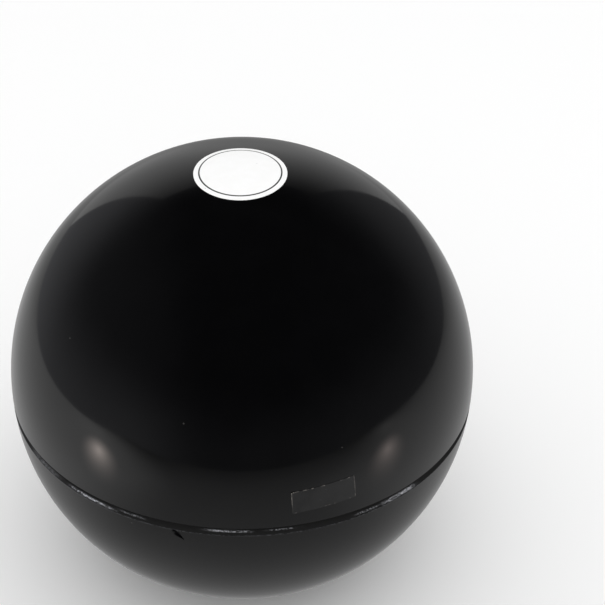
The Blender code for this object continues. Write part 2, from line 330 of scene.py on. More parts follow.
def black_gloss(name, painted_glint=False):
    """Polished black plastic with dust, faint hairlines and, on the lower rim, pale rougher patches that are
    painted highlights.
    """
    made = Finish(name, IOR=1.5)
    tone = made.remap(made.noise(6 * MM, 4), 0.3, 0.7)
    colour = made.mix(tone, rgb(0.0005, 0.0005, 0.0007), rgb(0.0009, 0.0009, 0.0011))
    dust = made.specks(3.6 * MM, 0.17 * MM, 0.2)
    colour = made.mix(dust, colour, rgb(0.045, 0.0435, 0.041))
    hair = made.math("MAXIMUM", made.scratches((0.4, 0.2, 0.9)), made.scratches((1.3, 0.7, 0.1)))
    patch = made.remap(made.noise(9 * MM, 2), 0.5, 0.62)
    hair = made.math("MULTIPLY", hair, patch)
    roughness = made.remap(made.noise(14 * MM, 3), 0.3, 0.7, 0.075, 0.1)
    roughness = made.math("ADD", roughness, made.math("MULTIPLY", hair, 0.05))
    roughness = made.math("ADD", roughness, made.math("MULTIPLY", dust, 0.4))
    height = made.math("ADD", made.noise(5 * MM, 1), made.math("MULTIPLY", dust, 1.5))
    if painted_glint:
        cut = made.attribute("chamfer")
        colour = made.mix(cut, colour, rgb(0.0122, 0.012, 0.0118))
        roughness = made.math("ADD", roughness, made.math("MULTIPLY", cut, 0.22))
        # Pale, rougher patches on the lower rim, painted where lamp highlights would glint
        glint_patch = made.remap(made.noise(0.3 * MM, 3), 0.4, 0.62)
        glint_patch = made.math("MULTIPLY", glint_patch, made.attribute("painted_rim_glint"))
        colour = made.mix(glint_patch, colour, rgb(0.62, 0.63, 0.68))
        roughness = made.math("ADD", roughness, made.math("MULTIPLY", glint_patch, 0.25))
        height = made.math("ADD", height, made.math("MULTIPLY", glint_patch, 2))
    made.set("Base Color", colour)
    made.set("Roughness", roughness)
    made.bump(height, 0.25, 0.008 * MM)
    return made.material


def white_ink():
    """Opaque white printing ink with a thin grey ring, slightly uneven in gloss."""
    made = Finish("white_ink", IOR=1.48)
    film = made.remap(made.noise(1.6 * MM, 4), 0.3, 0.7)
    colour = made.mix(film, rgb(0.965, 0.965, 0.96), rgb(0.985, 0.985, 0.985))
    offset = made.math("ABSOLUTE", made.math("SUBTRACT", made.attribute("reach"), RING_RADIUS))
    ring = made.remap(offset, RING_WIDTH * 0.62, RING_WIDTH * 0.38)
    colour = made.mix(ring, colour, rgb(0.012, 0.012, 0.013))
    pinhole = made.specks(1.4 * MM, 0.09 * MM, 0.1)
    colour = made.mix(pinhole, colour, rgb(0.2, 0.2, 0.2))
    made.set("Base Color", colour)
    made.set("Roughness", made.remap(film, 0, 1, 0.3, 0.38))
    made.bump(made.noise(0.35 * MM, 3), 0.2, 0.01 * MM)
    return made.material


def label_film():
    """The label's clear film, made opaque and nearly black like the shell that would show through it."""
    made = Finish("label_film", IOR=1.46)
    haze = made.remap(made.noise(2.2 * MM, 3), 0.3, 0.7)
    colour = made.mix(haze, rgb(0.009, 0.009, 0.0092), rgb(0.0125, 0.0125, 0.0128))
    bubble = made.specks(0.9 * MM, 0.16 * MM, 0.3)
    colour = made.mix(bubble, colour, rgb(0.02, 0.02, 0.021))
    grain = made.remap(made.noise(0.25 * MM, 2), 0.35, 0.6)
    marks = made.math("MULTIPLY", made.attribute("marks"), grain)
    colour = made.mix(marks, colour, rgb(0.24, 0.22, 0.2))
    made.set("Base Color", colour)
    made.set("Roughness", made.remap(haze, 0, 1, 0.12, 0.18))
    made.bump(made.math("ADD", made.noise(1.5 * MM, 3), bubble), 0.3, 0.015 * MM)
    return made.material


def moulded(name, dark, light, roughness, grain, **values):
    """Moulded plastic or rubber: a mottled colour, uneven gloss and a fine grain."""
    made = Finish(name, **values)
    mottle = made.remap(made.noise(3 * MM, 4), 0.3, 0.7)
    made.set("Base Color", made.mix(mottle, rgb(*dark), rgb(*light)))
    made.set("Roughness", made.remap(mottle, 0, 1, roughness - 0.04, roughness + 0.04))
    made.bump(made.noise(grain, 3), 0.3, 0.02 * MM)
    return made.material


def lens_acrylic():
    made = Finish("lens_acrylic", Transmission_Weight=1.0, Roughness=0.02, IOR=1.49)
    made.set("Base Color", rgb(0.98, 0.99, 1.0))
    made.bump(made.noise(7 * MM, 1), 0.1, 0.01 * MM)
    return made.material


def die_plastic():
    """White plastic. Its faces are darker than its raised bars, so that the bars show through the dye."""
    made = Finish("die_plastic", IOR=1.46)
    mottle = made.remap(made.noise(3 * MM, 4), 0.3, 0.7)
    face = made.mix(mottle, rgb(0.5, 0.53, 0.58), rgb(0.58, 0.6, 0.64))
    bar = made.mix(mottle, rgb(0.9, 0.91, 0.92), rgb(0.97, 0.97, 0.97))
    made.set("Base Color", made.mix(made.attribute("raised"), face, bar))
    made.set("Roughness", made.remap(mottle, 0, 1, 0.36, 0.44))
    made.bump(made.noise(0.25 * MM, 3), 0.3, 0.02 * MM)
    return made.material


def blue_dye(name):
    """Clear liquid that dims red to a third in about 3 mm, green in 4 mm and blue in 14 mm."""
    made = Finish(name, Transmission_Weight=1.0, Roughness=0.0, IOR=1.34)
    made.set("Base Color", rgb(1, 1, 1))
    made.bump(made.noise(9 * MM, 1), 0.05, 0.01 * MM)
    volume = made.node("VolumeAbsorption", {"Color": rgb(0.12, 0.36, 0.82), "Density": 400.0})
    output = made.tree.nodes["Material Output"]
    made.feed(output.inputs["Volume"], volume.outputs[0])
    return made.material


# Shells


def upper_shell(finish):
    """The upper half: polished outside, chamfered rim, rebate for the lip and socket for the reservoir."""
    rim = SEAM_HALF_GAP + UPPER_CHAMFER
    clear_of_rim = asin((rim + 0.4 * MM) / RADIUS)
    rebate = BORE + LIP_THICKNESS + GAP
    rebate_top = LIP_HEIGHT + GAP
    inner, outer = SOCKET_RADII
    socket_bottom = SOCKET_BOTTOM_Z - CENTRE_Z
    outline = arc(RADIUS, pi / 2, clear_of_rim, LATITUDES)
    outline += [
        (RADIUS, rim, 0.05 * MM),
        (RADIUS - UPPER_CHAMFER, SEAM_HALF_GAP, 0.08 * MM),
        (rebate, SEAM_HALF_GAP, 0),
        (rebate, rebate_top, 0),
    ]
    outline += arc(BORE, asin(rebate_top / BORE), acos(outer / BORE), 12)
    outline += [(outer, socket_bottom, 0.3 * MM), (inner, socket_bottom, 0.3 * MM)]
    outline += arc(BORE, acos(inner / BORE), pi / 2, 8)
    shell = turned("upper_shell_fine", rounded(outline), finish, loop=False, lift=CENTRE_Z)
    return placed(shell, "ball", "shell_black", "upper_shell")


def refined(start, end, fine_start, fine_end, step):
    """Angles from start to end at this step, and at FINE_STEP between the two fine ones."""
    low, high = sorted((fine_start, fine_end))
    coarse = [start + step * i for i in range(int(abs((end - start) / step)) + 1)]
    fine = [low + FINE_STEP * i for i in range(int((high - low) / FINE_STEP) + 1)]
    return sorted([a for a in coarse if not low - step / 2 < a < high + step / 2] + fine)


def gouge_depth(azimuth, latitude):
    """How deep the gouge is at a place on the lower shell."""
    (a, b), (c, d) = GOUGE_ENDS
    along = Vector((c - a, d - b)) * RADIUS
    here = Vector((azimuth - a, latitude - b)) * RADIUS
    share = max(0, min(1, here.dot(along) / along.length_squared))
    widening = 0.6 + 0.4 * smooth(share / 0.3)
    taper = 1 - 0.85 * smooth((share - 0.3) / 0.7)
    off = (here - along * share).length / (GOUGE_HALF_WIDTH * widening * taper)
    return GOUGE_DEPTH * (1 - smooth(off)) * (1 - 0.6 * share)


def rim_glint_at(azimuth, height):
    """How strong the painted highlight on the lower rim is, from 0 to 1, at this height over its edge."""
    painted_glint = 0
    for place, half_width, strength, middle, half_height in RIM_GLINTS:
        off = abs((degrees(azimuth) - place + 180) % 360 - 180)
        share = strength * smooth(1.6 * (1 - off / half_width))
        painted_glint = max(painted_glint, share * smooth(1.5 - abs(height / MM - middle) / half_height))
    return painted_glint


def lower_shell(finish):
    """The lower half: lip, chamfered rim, foot ring, window throat and the reservoir's collar."""
    rim = SEAM_HALF_GAP + LOWER_CHAMFER
    lip = BORE + LIP_THICKNESS
    foot = -CENTRE_Z
    collar_top = COLLAR_TOP_Z - CENTRE_Z
    start = -asin((rim + 0.25 * MM) / RADIUS)
    end = -acos((FOOT_RADIUS + 0.8 * MM) / RADIUS)
    latitudes = refined(end, start, FINE_LATITUDE, start, (start - end) / LATITUDES)
    outline = [
        (lip, LIP_HEIGHT, 0.2 * MM),
        (lip, -SEAM_HALF_GAP, 0),
        (RADIUS - LOWER_CHAMFER, -SEAM_HALF_GAP, 0.08 * MM),
    ]
    rows = range(2, CHAMFER_ROWS - 1)
    chamfer = [LOWER_CHAMFER * i / CHAMFER_ROWS for i in rows]
    outline += [(RADIUS - LOWER_CHAMFER + down, -SEAM_HALF_GAP - down, 0) for down in chamfer]
    outline.append((RADIUS, -rim, 0.15 * MM))
    outline += [(RADIUS * cos(a), RADIUS * sin(a), 0) for a in reversed(latitudes)]
    outline += [
        (FOOT_RADIUS, foot, 0.4 * MM),
        (THROAT_RADIUS, foot, 0.35 * MM),
        (THROAT_RADIUS, collar_top, 0.2 * MM),
        (COLLAR_RADIUS, collar_top, 0.2 * MM),
    ]
    outline += arc(BORE, -acos(COLLAR_RADIUS / BORE), 0, 20)
    outline.append((BORE, LIP_HEIGHT, 0.2 * MM))
    step = 2 * pi / ROUND
    azimuths = refined(-pi, pi - step, *FINE_AZIMUTHS, step)
    shell = turned("lower_shell_fine", rounded(outline), finish, azimuths, lift=CENTRE_Z)
    # Mask of painted highlights on the lower rim: the glint stretches and a faint pale line along its edge
    painted_rim_glint = shell.data.attributes.new("painted_rim_glint", "FLOAT", "POINT")
    chamfer_mask = shell.data.attributes.new("chamfer", "FLOAT", "POINT")
    edge_z = CENTRE_Z - rim
    for vertex in shell.data.vertices:
        x, y, z = vertex.co
        radius = (vertex.co - Vector((0, 0, CENTRE_Z))).length
        azimuth = atan2(x, -y)
        if radius > RADIUS - LOWER_CHAMFER and abs(z - edge_z) < LOWER_CHAMFER:
            line = smooth(1.5 - abs(z - edge_z) / EDGE_LINE_WIDTH)
            painted_rim_glint.data[vertex.index].value = max(rim_glint_at(azimuth, z - edge_z), EDGE_LINE_GLINT * line)
            chamfer_mask.data[vertex.index].value = smooth((z - edge_z) / (0.08 * MM))
        if radius > RADIUS - 0.05 * MM and z < edge_z:
            depth = gouge_depth(azimuth, asin((z - CENTRE_Z) / radius))
            vertex.co -= Vector((x, y, z - CENTRE_Z)).normalized() * depth
    return placed(shell, "ball", "shell_black", "lower_shell")


# Print and label


def crown_print(finish):
    """A thin round layer of ink on the crown, leaning a little to the front."""
    sunk, raised = (RADIUS + relief for relief in PRINT_RELIEF)
    edge = acos(PRINT_RADIUS / RADIUS)
    outline = arc(raised, pi / 2, edge, 24)[:-1]
    outline.append((*Vector((cos(edge), sin(edge))) * raised, 0.02 * MM))
    outline += arc(sunk, edge, pi / 2, 12)
    points = rounded(outline, 3, 0.01 * MM)
    print_cap = turned("crown_print", points, finish, loop=False)
    reach = print_cap.data.attributes.new("reach", "FLOAT", "POINT")
    for vertex in print_cap.data.vertices:
        x, y, z = vertex.co
        reach.data[vertex.index].value = vertex.co.xy.length
        stretched = Vector((x * PRINT_STRETCH[0], y * PRINT_STRETCH[1], z))
        vertex.co = stretched.normalized() * vertex.co.length
    forward = PRINT_TILT - PRINT_SHIFT[1] / RADIUS
    sideways = PRINT_SHIFT[0] / RADIUS
    turn = Matrix.Rotation(forward, 4, "X") @ Matrix.Rotation(sideways, 4, "Y")
    print_cap.data.transform(Matrix.Translation((0, 0, CENTRE_Z)) @ turn)
    return placed(print_cap, "ball", "ink_white", "print_disc")


def rounded_corner(u, v):
    """A place on the label, for u and v from -1 to 1, with its corners rounded."""
    place = []
    reach = []
    for value, size in ((u, LABEL_SIZE[0]), (v, LABEL_SIZE[1])):
        place.append(value * size / 2)
        reach.append(max(0, abs(place[-1]) - size / 2 + LABEL_CORNER) / LABEL_CORNER)
    p, q = reach
    pulled = (p * sqrt(1 - q * q / 2), q * sqrt(1 - p * p / 2))
    for i in range(2):
        if p and q:
            side = 1 if place[i] > 0 else -1
            place[i] += side * (pulled[i] - reach[i]) * LABEL_CORNER
    return place


def label_lift(across, up, inset):
    """Height of the film over the shell: a curled top left corner, and edges that stand up a little."""
    from_corner = Vector((across + LABEL_SIZE[0] / 2, up - LABEL_SIZE[1] / 2)).length
    curl_height, curl_reach = LABEL_CURL
    ripple_height, ripple_reach = LABEL_RIPPLE
    curl = curl_height * (1 - smooth(from_corner / curl_reach))
    uneven = 1 + noise.noise(Vector((across, up, 0)) / MM)
    ripple = ripple_height * (1 - smooth(inset / ripple_reach)) * uneven
    return curl + ripple


def label_marks(across, up):
    """How pale the film is, from 0 to 1: at its sides, by the curled corner, and in dashes at top and foot."""
    side = LABEL_SIZE[0] / 2 - abs(across)
    end = LABEL_SIZE[1] / 2 - abs(up)
    side_line = 1 - smooth((side - 0.1 * MM) / (0.1 * MM))
    end_line = 1 - smooth((end - 0.1 * MM) / (0.1 * MM))
    dashes = smooth(4 * noise.noise(Vector((1.7 * across / MM, 7 * up / abs(up or 1), 0.3))) - 0.4)
    if up < 0:
        dashes *= 0.5
    corner = 1 - smooth((across + LABEL_SIZE[0] / 2) / (1.6 * MM))
    if across < 0:
        side_line *= 0.05 + 0.45 * smooth((up + 1.2 * MM) / (0.9 * MM))
    else:
        side_line *= 0.3
    return max(side_line, end_line * max(0.5 * dashes, corner if up > 0 else 0))


def label(finish):
    """A thin clear rectangle bent to the ball."""
    shape = bmesh.new()
    bmesh.ops.create_grid(shape, x_segments=112, y_segments=44, size=1)
    marks = shape.verts.layers.float.new("marks")
    for corner in shape.verts:
        across, up = rounded_corner(corner.co.x, corner.co.y)
        inset = min(LABEL_SIZE[0] / 2 - abs(across), LABEL_SIZE[1] / 2 - abs(up))
        corner[marks] = label_marks(across, up)
        radius = RADIUS + LABEL_CLEARANCE + label_lift(across, up, inset)
        azimuth = (across * cos(LABEL_TILT) - up * sin(LABEL_TILT)) / RADIUS
        latitude = LABEL_LATITUDE + (across * sin(LABEL_TILT) + up * cos(LABEL_TILT)) / RADIUS
        azimuth = LABEL_AZIMUTH + azimuth / cos(LABEL_LATITUDE)
        level = radius * cos(latitude)
        corner.co = (level * sin(azimuth), -level * cos(azimuth), CENTRE_Z + radius * sin(latitude))
    shape.normal_update()
    bmesh.ops.solidify(shape, geom=shape.faces[:], thickness=-LABEL_THICKNESS)
    bmesh.ops.recalc_face_normals(shape, faces=shape.faces[:])
    film = linked("label_film", shape, finish)
    return placed(film, "ball", "label_film", "clear_label")


# Window and dye


def bezel(finish):
    """Ring in the throat, with a raised outer bead and a lower step round the lens."""
    low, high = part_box("window_bezel")
    inner = high.x - BEZEL_WIDTH
    bead = high.x - BEAD_WIDTH
    step = low.z + BEAD_STEP
    outline = [
        (high.x, high.z, 0.1 * MM),
        (high.x, low.z, 0.15 * MM),
        (bead, low.z, 0.15 * MM),
        (bead - 0.1 * MM, step, 0.05 * MM),
        (inner, step, 0.15 * MM),
        (inner, high.z, 0.1 * MM),
    ]
    ring = turned("bezel_ring", rounded(outline, 4, 0.03 * MM), finish)
    return placed(ring, "ball", "bezel_black", "window_bezel")


def lens(finish):
    """Stepped clear disc with small chamfers."""
    low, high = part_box("window_lens")
    ring_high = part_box("window_bezel")[1]
    front = ring_high.x - LENS_INSET
    step = ring_high.z + GAP
    outline = [
        (0, high.z, 0),
        (high.x, high.z, 0.15 * MM),
        (high.x, step, 0.15 * MM),
        (front, step, 0.1 * MM),
        (front, low.z, 0.25 * MM),
        (0, low.z, 0),
    ]
    disc = turned("lens_disc", rounded(outline, 4, 0.03 * MM), finish, loop=False)
    disc.visible_shadow = False
    return placed(disc, "ball", "lens_clear", "window_lens")


def funnel_side(offset):
    """The funnel's shoulder and neck, this far out from the inner side of its 45 degree cone."""
    inner = FUNNEL_RADIUS - FUNNEL_WALL
    rise = offset * (sqrt(2) - 1)
    shoulder = (inner + offset, FUNNEL_SHOULDER_Z + rise, 0)
    neck_z = FUNNEL_SHOULDER_Z + inner - FUNNEL_NECK_RADIUS + rise
    return shoulder, (FUNNEL_NECK_RADIUS + max(offset, 0), neck_z, 0)


def gasket(finish):
    """Flat rubber ring with rounded edges and a shallow groove round both faces."""
    low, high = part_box("lens_gasket")
    inner = high.x - VESSEL_WALL
    middle = high.x - VESSEL_WALL / 2
    side = 0.2 * MM
    groove = 0.12 * MM
    outline = [
        (high.x, high.z, 0.25 * MM),
        (high.x, low.z, 0.25 * MM),
        (middle + side, low.z, 0),
        (middle, low.z + groove, 0),
        (middle - side, low.z, 0),
        (inner, low.z, 0.25 * MM),
        (inner, high.z, 0.25 * MM),
        (middle - side, high.z, 0),
        (middle, high.z - groove, 0),
        (middle + side, high.z, 0),
    ]
    ring = turned("gasket_ring", rounded(outline, 4, 0.03 * MM), finish)
    return placed(ring, "ball", "rubber_grey", "lens_gasket")


def reservoir(finish):
    """Moulded cup for the dye, with rounded corners, a flange and a filling boss."""
    low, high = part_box("reservoir")
    bore = VESSEL_RADIUS - VESSEL_WALL
    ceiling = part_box("fill_plug")[0].z
    top = ceiling + VESSEL_WALL
    flange_bottom = COLLAR_TOP_Z + GAP
    flange_top = flange_bottom + VESSEL_WALL
    outline = [
        (BOSS_RADIUS, high.z, 0.4 * MM),
        (BOSS_RADIUS, top, 0.6 * MM),
        (VESSEL_RADIUS, top, 1 * MM),
        (VESSEL_RADIUS, flange_top, 0.4 * MM),
        (COLLAR_RADIUS, flange_top, 0.4 * MM),
        (COLLAR_RADIUS, flange_bottom, 0.2 * MM),
        (VESSEL_RADIUS, flange_bottom, 0.15 * MM),
        (VESSEL_RADIUS, low.z, 0.2 * MM),
        (bore, low.z, 0.2 * MM),
        (bore, ceiling, 1 * MM),
        (FILL_RADIUS, ceiling, 0.3 * MM),
        (FILL_RADIUS, high.z, 0.3 * MM),
    ]
    cup = turned("reservoir_cup", rounded(outline), finish)
    return placed(cup, "ball", "vessel_plastic", "reservoir")


def fill_plug(finish):
    """Push-in rubber plug with a dimpled head and two sealing ribs on its stem."""
    low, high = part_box("fill_plug")
    head_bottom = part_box("reservoir")[1].z + GAP
    stem = FILL_RADIUS - GAP
    dimple = high.z - 0.5 * MM
    outline = [
        (0, dimple, 0),
        (1.8 * MM, dimple, 0.3 * MM),
        (2.6 * MM, high.z, 0.3 * MM),
        (BOSS_RADIUS, high.z, 0.6 * MM),
        (BOSS_RADIUS, head_bottom, 0.2 * MM),
        (stem, head_bottom, 0.2 * MM),
    ]
    for rib in (low.z + 3.5 * MM, low.z + 2 * MM):
        outline += [
            (stem, rib + 0.4 * MM, 0.1 * MM),
            (stem + 0.16 * MM, rib, 0.1 * MM),
            (stem, rib - 0.4 * MM, 0.1 * MM),
        ]
    outline += [(stem, low.z, 0.5 * MM), (0, low.z, 0)]
    points = rounded(outline, 4, 0.03 * MM)
    plug = turned("filling_plug", points, finish, even_azimuths(SMALL_ROUND), loop=False)
    return placed(plug, "ball", "rubber_grey", "fill_plug")


def funnel(finish):
    """Skirt and cone that keep air away from the window, with rounded edges and an open neck."""
    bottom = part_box("bubble_funnel")[0].z
    inner_shoulder, inner_neck = funnel_side(0)
    outer_shoulder, outer_neck = funnel_side(FUNNEL_WALL)
    outline = [
        (inner_neck[0], outer_neck[1], 0.1 * MM),
        (*outer_neck[:2], 0.3 * MM),
        (*outer_shoulder[:2], 0.4 * MM),
        (FUNNEL_RADIUS, bottom, 0.3 * MM),
        (FUNNEL_RADIUS - FUNNEL_WALL, bottom, 0.3 * MM),
        (*inner_shoulder[:2], 0.4 * MM),
        (*inner_neck[:2], 0.2 * MM),
    ]
    cone = turned("funnel_cone", rounded(outline), finish)
    return placed(cone, "ball", "funnel_plastic", "bubble_funnel")


def dye(finish):
    """All the dye, which closes round the die wherever that floats."""
    low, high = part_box("dyed_liquid")
    outer_shoulder, outer_neck = funnel_side(FUNNEL_WALL + GAP)
    inner_shoulder, inner_neck = funnel_side(-GAP)
    neck_side = FUNNEL_NECK_RADIUS - GAP
    outline = [
        (0, high.z, 0),
        (high.x, high.z, 0.3 * MM),
        (high.x, outer_shoulder[1] + outer_shoulder[0] - high.x, 0.1 * MM),
        outer_neck,
        (neck_side, outer_neck[1], 0),
        (neck_side, inner_neck[1] + inner_neck[0] - neck_side, 0),
        inner_shoulder,
        (inner_shoulder[0], low.z, 0.3 * MM),
        (0, low.z, 0),
    ]
    body = turned("dye_body", rounded(outline), finish, loop=False)
    return placed(body, "liquid", "dye_blue", "dyed_liquid")


# Die


def icosahedron(radius):
    """Twenty triangles with one face down, and that face's corner towards -Y."""
    shape = bmesh.new()
    bmesh.ops.create_icosphere(shape, subdivisions=1, radius=radius)
    lowest = min(shape.faces, key=lambda face: (face.calc_center_median() - Vector((0.1, 0.2, -1))).length)
    down = lowest.calc_center_median().rotation_difference(Vector((0, 0, -1))).to_matrix()
    bmesh.ops.rotate(shape, matrix=down, verts=shape.verts)
    corner = lowest.verts[0].co
    turn = Matrix.Rotation(-pi / 2 - atan2(corner.y, corner.x), 3, "Z")
    bmesh.ops.rotate(shape, matrix=turn, verts=shape.verts)
    return shape


def raised_bars(die):
    """Three round-edged bars on each face, shorter towards one corner."""
    bars = bmesh.new()
    for face in die.faces:
        normal = face.normal.copy()
        up = (face.verts[0].co - face.calc_center_median()).normalized()
        across = up.cross(normal)
        turn = Matrix((across, up, normal)).transposed().to_4x4()
        for height, width in BARS:
            depth = BAR_RAISED + BAR_SUNK
            size = Matrix.Diagonal((width, BAR_HEIGHT, depth, 1))
            place = face.calc_center_median() + up * height + normal * (BAR_RAISED - depth / 2)
            bmesh.ops.create_cube(bars, size=1, matrix=Matrix.Translation(place) @ turn @ size)
    bmesh.ops.bevel(bars, geom=bars.edges[:], offset=BAR_ROUNDING, segments=3, profile=0.5, affect="EDGES")
    return bars


def helper(name, shape, finish):
    """A hidden object that only shapes the die."""
    obj = linked(name, shape, finish)
    obj.data.transform(Matrix.Translation(DIE_CENTRE))
    return obj


def die(finish):
    """Two hollow halves with rounded edges, joined across the middle."""
    outer = icosahedron(DIE_RADIUS)
    outer.normal_update()
    normals = [face.normal.copy() for face in outer.faces]
    bars = helper("die_bars", raised_bars(outer), finish)
    bmesh.ops.bevel(outer, geom=outer.edges[:], offset=DIE_ROUNDING, segments=4, profile=0.5, affect="EDGES")
    core_radius = DIE_RADIUS * (DIE_INRADIUS - DIE_WALL) / DIE_INRADIUS
    core = helper("die_core", icosahedron(core_radius), finish)
    vent = bmesh.new()
    bmesh.ops.create_cone(
        vent,
        cap_ends=True,
        segments=32,
        radius1=DIE_VENT_RADIUS,
        radius2=DIE_VENT_RADIUS,
        depth=2 * DIE_RADIUS,
        matrix=Matrix.Translation((0, 0, DIE_RADIUS)),
    )
    vent = helper("die_vent", vent, finish)
    halves = []
    for name, node, side in (("die_lower", "die_front_half", -1), ("die_upper", "die_back_half", 1)):
        half = helper(name, outer.copy(), finish)
        block = bmesh.new()
        height = 2 * DIE_RADIUS
        size = Matrix.Diagonal((4 * DIE_RADIUS, 4 * DIE_RADIUS, height, 1))
        shift = Matrix.Translation((0, 0, side * (height + GAP) / 2))
        bmesh.ops.create_cube(block, size=1, matrix=shift @ size)
        block = helper(name + "_space", block, finish)
        steps = ((core, "DIFFERENCE"), (bars, "UNION"), (block, "INTERSECT"), (vent, "DIFFERENCE"))
        for other, operation in steps:
            cut = half.modifiers.new(operation.lower(), "BOOLEAN")
            cut.operation = operation
            cut.object = other
        halves.append((half, node, block))
    outer.free()
    bpy.context.view_layer.update()
    graph = bpy.context.evaluated_depsgraph_get()
    for half, node, block in halves:
        shaped = bpy.data.meshes.new_from_object(half.evaluated_get(graph))
        half.modifiers.clear()
        half.data = shaped
        shaped.shade_smooth()
        shaped.set_sharp_from_angle(angle=CREASE)
        raised = shaped.attributes.new("raised", "FLOAT", "POINT")
        for vertex in shaped.vertices:
            height = max((vertex.co - DIE_CENTRE).dot(normal) for normal in normals) - DIE_INRADIUS
            raised.data[vertex.index].value = smooth(height / (0.5 * BAR_RAISED))
        placed(half, "die", "die_white", node)
        bpy.data.objects.remove(block)
    for obj in (bars, core, vent):
        bpy.data.objects.remove(obj)


def die_filling(finish):
    """The liquid inside the die, which leaves a small bubble of air above it."""
    low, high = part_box("die_fill_liquid")
    radius = (high.z - low.z) / 2
    level = radians(50)
    outline = [(0, radius * sin(level), 0), (radius * cos(level), radius * sin(level), 0.3 * MM)]
    outline += arc(radius, level - radians(8), -pi / 2, LATITUDES)
    azimuths = even_azimuths(SMALL_ROUND)
    body = turned("die_filling", rounded(outline), finish, azimuths, loop=False, lift=DIE_CENTRE.z)
    return placed(body, "die_core", "dye_blue", "die_fill_liquid")


# Stage. The camera sees a plain floor. The ball's gloss mirrors the table, the sweep and the dim room
# instead, whose numbers were chosen to give the reflections that the photo shows.

CAMERA_ELEVATION = radians(37.3)
CAMERA_DISTANCE = 0.25
CAMERA_LENS = 67.35
CAMERA_SHIFT = (0.1, 0.1078)
BALL_CENTRE = Vector((0, 0, CENTRE_Z))
PALE = 0.9
FLOOR_PALE = 0.97
FLOOR_REACH = 30
TABLE_X = (-0.385, 0.53)
TABLE_Y = (-0.325, 0.6)
SWEEP_X = (-0.4, 0.35)
SWEEP_HEIGHT = 0.65
FLOOR_DROP = 0.02 * MM


def camera():
    """The main view: from the front, well above the ball, which stands left of the middle and below it."""
    data = bpy.data.cameras.new("camera")
    data.lens = CAMERA_LENS
    data.shift_x, data.shift_y = CAMERA_SHIFT
    data.clip_start = 0.01
    made = bpy.data.objects.new("camera", data)
    back = Vector((0, -cos(CAMERA_ELEVATION), sin(CAMERA_ELEVATION)))
    made.location = BALL_CENTRE + back * CAMERA_DISTANCE
    made.rotation_euler = (pi / 2 - CAMERA_ELEVATION, 0, 0)
    bpy.context.scene.collection.objects.link(made)
    bpy.context.scene.camera = made


def softbox(name, place, size, watts):
    """A square lamp that faces the ball and that the ball's gloss doesn't mirror."""
    data = bpy.data.lights.new(name, "AREA")
    data.shape = "SQUARE"
    data.size = size
    data.energy = watts
    lamp = bpy.data.objects.new(name, data)
    lamp.location = place
    lamp.rotation_euler = (BALL_CENTRE - Vector(place)).to_track_quat("-Z", "Y").to_euler()
    lamp.visible_glossy = False
    bpy.context.scene.collection.objects.link(lamp)


def plane(name, across, along, finish):
    """A stage rectangle that faces up, between two places across and two along."""
    shape = bmesh.new()
    corners = [(across[0], along[0]), (across[1], along[0]), (across[1], along[1]), (across[0], along[1])]
    shape.faces.new([shape.verts.new((*corner, 0)) for corner in corners])
    obj = linked(name, shape, finish)
    obj.data.transform(Matrix.Translation((0, 0, -FLOOR_DROP)))
    return obj


def one_sided(made, surface):
    """Shows a surface from above, but not from below or to a ray that has gone through the window."""
    clear = made.node("BsdfTransparent", {})
    behind = made.node("NewGeometry", {}).outputs["Backfacing"]
    refracted = made.node("LightPath", {}).outputs["Is Transmission Ray"]
    unseen = made.math("MAXIMUM", behind, refracted)
    both = made.node("MixShader", {0: unseen, 1: surface, 2: clear.outputs[0]})
    made.feed(made.tree.nodes["Material Output"].inputs["Surface"], both.outputs[0])
    made.tree.nodes.remove(made.shader)


def floor():
    """The plain pale floor that the camera sees. The ball's gloss mirrors the lit set instead."""
    made = Finish("floor_paper")
    paper = made.node("BsdfDiffuse", {"Color": rgb(FLOOR_PALE, FLOOR_PALE, FLOOR_PALE)})
    one_sided(made, paper.outputs[0])
    obj = plane("floor", (-FLOOR_REACH, FLOOR_REACH), (-FLOOR_REACH, FLOOR_REACH), made.material)
    obj.visible_glossy = False
    obj.visible_transmission = False


def pool(made, side, place, turn, reach, tint, peak):
    """Soft elongated pool of lamp light on the table, on the left (-1) or the right (1)."""
    inputs = {
        "Vector": made.place,
        "Location": (side * place[0], place[1], 0),
        "Rotation": (0, 0, -side * turn),
        "Scale": (*reach, 1),
    }
    spot = made.node("Mapping", inputs, vector_type="TEXTURE")
    ball = made.node("TexGradient", {0: spot.outputs[0]}, gradient_type="QUADRATIC_SPHERE")
    strength = made.math("MULTIPLY", ball.outputs["Fac"], peak)
    return made.node("Emission", {"Color": rgb(*tint), "Strength": strength})


def mirrored(obj):
    """Only the ball's gloss sees this."""
    obj.visible_camera = False
    obj.visible_diffuse = False
    obj.visible_transmission = False
    obj.visible_shadow = False


